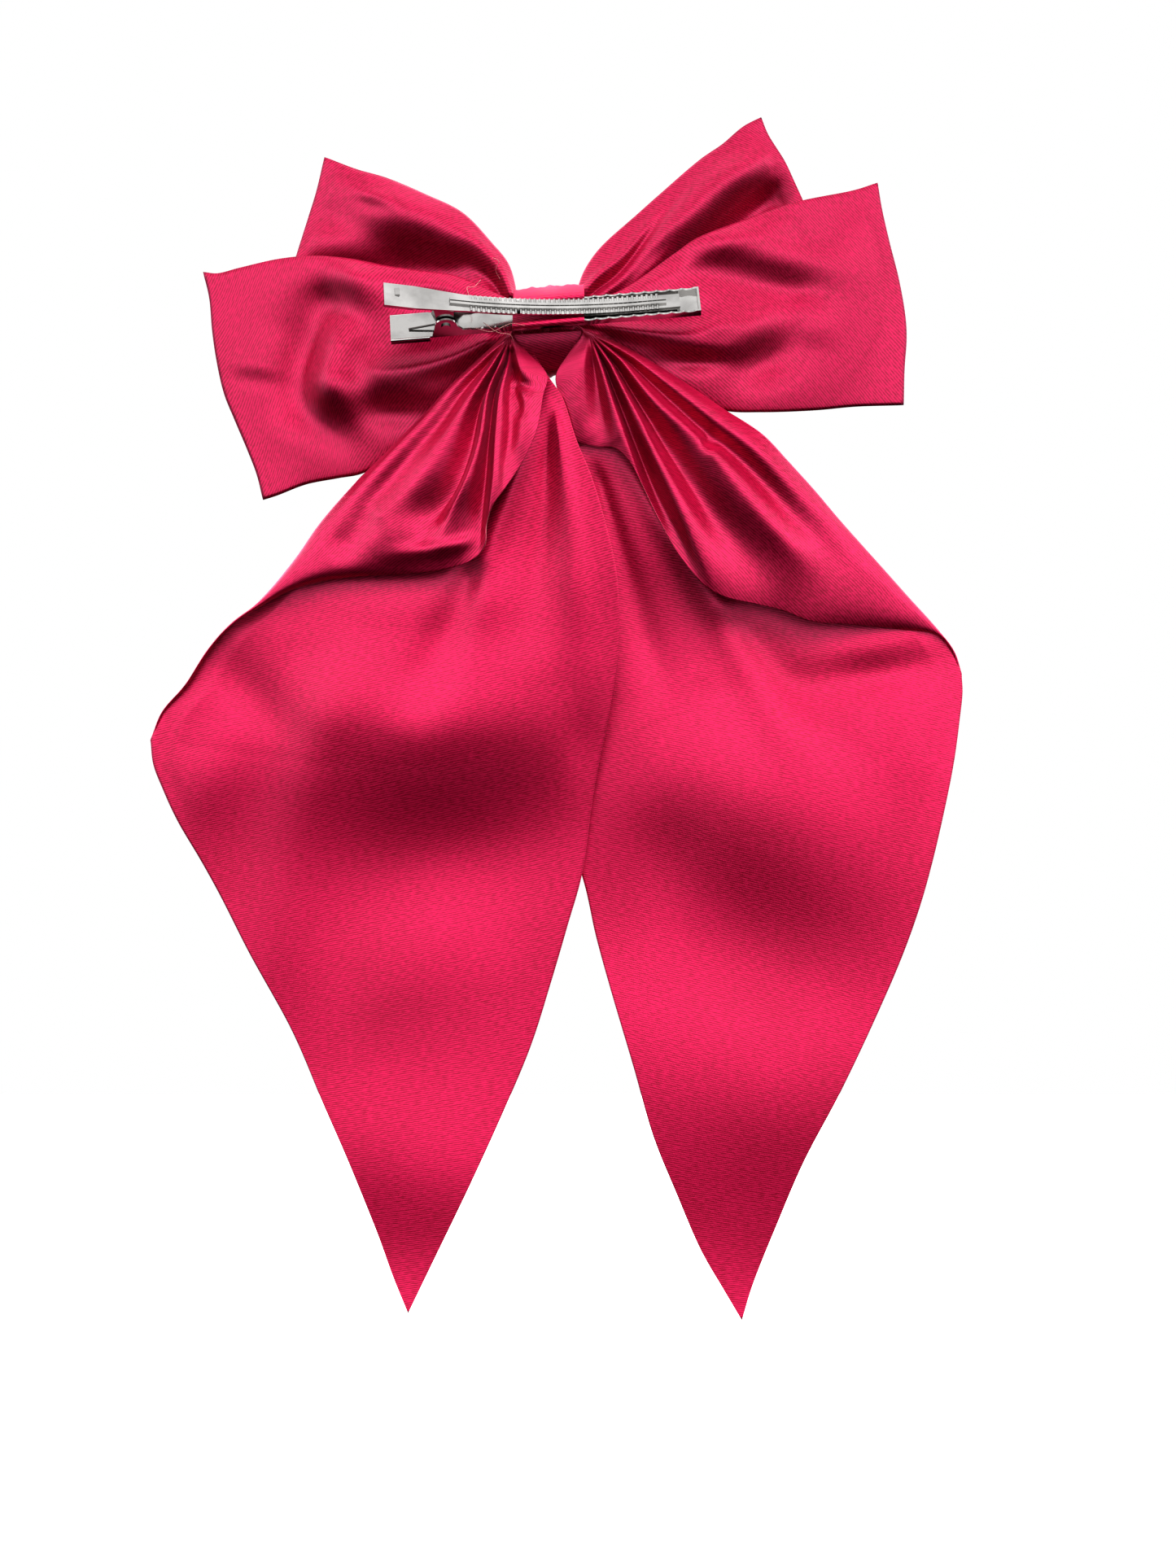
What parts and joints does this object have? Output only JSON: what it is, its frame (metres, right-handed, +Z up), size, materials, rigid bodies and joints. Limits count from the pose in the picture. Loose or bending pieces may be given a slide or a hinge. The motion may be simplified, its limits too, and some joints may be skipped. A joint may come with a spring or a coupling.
{
  "type": "hair bow",
  "caption": "Long-tail satin hair bow: two stacked pinched bow layers, a gathered tail ribbon, a centre band and a sprung alligator clip on the back.",
  "frame": {"origin": "middle of the hair grip, between the clip's two jaws at the knot", "axes": "+Z up as worn, -Y towards the show side of the bow, +Y towards the head, +X towards the clip's thumb end"},
  "size_m": [0.1996, 0.0385, 0.294],
  "materials": {
    "satin": "satin weave, shiny on the right side",
    "thread": "twisted polyester thread",
    "glue": "cloudy hot-melt glue",
    "nickel_steel": "nickel-plated stamped steel, lightly scratched",
    "spring_steel": "dark spring wire"
  },
  "bodies": {
    "bow": {"upper_loop_left": "satin", "upper_loop_right": "satin", "lower_loop_left": "satin", "lower_loop_right": "satin", "tail_left": "satin", "tail_right": "satin", "centre_band": "satin", "layer_binding": "thread", "tail_binding": "thread", "glue_pad": "glue", "clip_base_jaw": "nickel_steel", "clip_hinge_pin": "nickel_steel", "clip_torsion_spring": "spring_steel"},
    "lever": {"clip_lever_jaw": "nickel_steel"}
  },
  "joints": [
    {"name": "jaw_hinge", "type": "hinge", "parent": "bow", "child": "lever", "pos_m": [0.02438, 0.00153, -0.00126], "axis": [-0.0736, 0.4384, -0.8958], "range_deg": [0, 34], "stiffness_Nm_per_rad": 0.15, "springref_deg": -45.84, "deforming": ["clip_torsion_spring"]}
  ]
}
